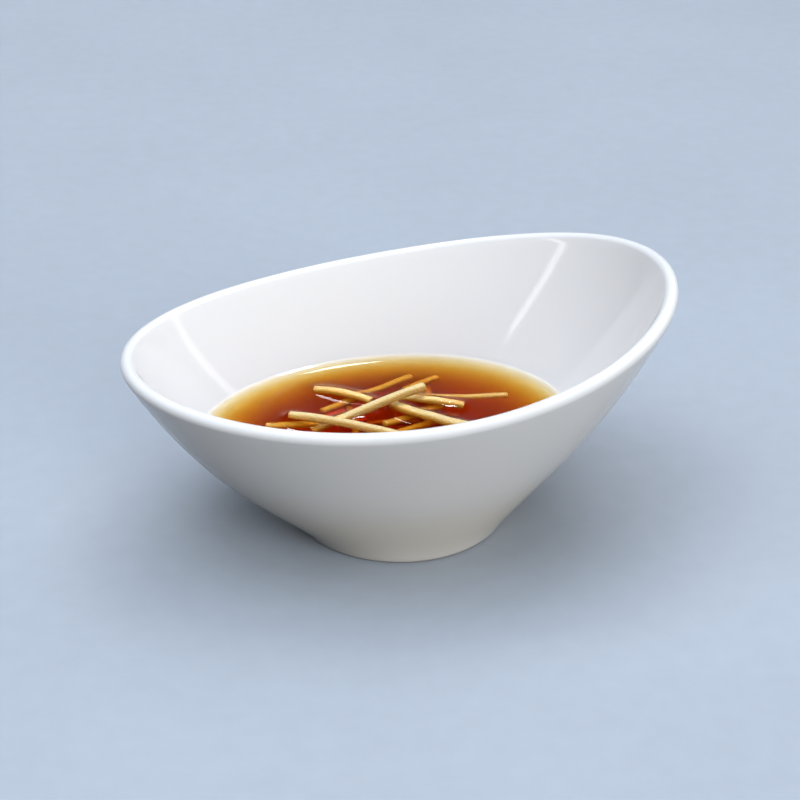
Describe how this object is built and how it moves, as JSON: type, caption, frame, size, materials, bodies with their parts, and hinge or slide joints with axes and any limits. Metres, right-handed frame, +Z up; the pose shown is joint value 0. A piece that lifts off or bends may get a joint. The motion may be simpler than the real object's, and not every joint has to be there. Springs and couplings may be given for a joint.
{
  "type": "dipping sauce bowl",
  "caption": "Oval glazed porcelain dipping bowl with one raised end and a round foot ring, holding sauce and a small heap of cut strips.",
  "frame": {"origin": "on the table, under the centre of the foot ring", "axes": "+X along the bowl toward its raised end, +Y across it, +Z up"},
  "size_m": [0.1303, 0.0944, 0.0604],
  "materials": {
    "porcelain": "white glaze, glossy, with a bare satin ring under the foot",
    "sauce": "clear amber liquid, glossy",
    "root_strip": "pale fibrous root, wet"
  },
  "bodies": {
    "root": {"bowl": "porcelain", "sauce": "sauce", "strip_01": "root_strip", "strip_02": "root_strip", "strip_03": "root_strip", "strip_04": "root_strip", "strip_05": "root_strip", "strip_06": "root_strip", "strip_07": "root_strip", "strip_08": "root_strip", "strip_09": "root_strip", "strip_10": "root_strip", "strip_11": "root_strip", "strip_12": "root_strip", "strip_13": "root_strip", "strip_14": "root_strip", "strip_15": "root_strip", "strip_16": "root_strip", "strip_17": "root_strip", "strip_18": "root_strip", "strip_19": "root_strip"}
  },
  "joints": []
}
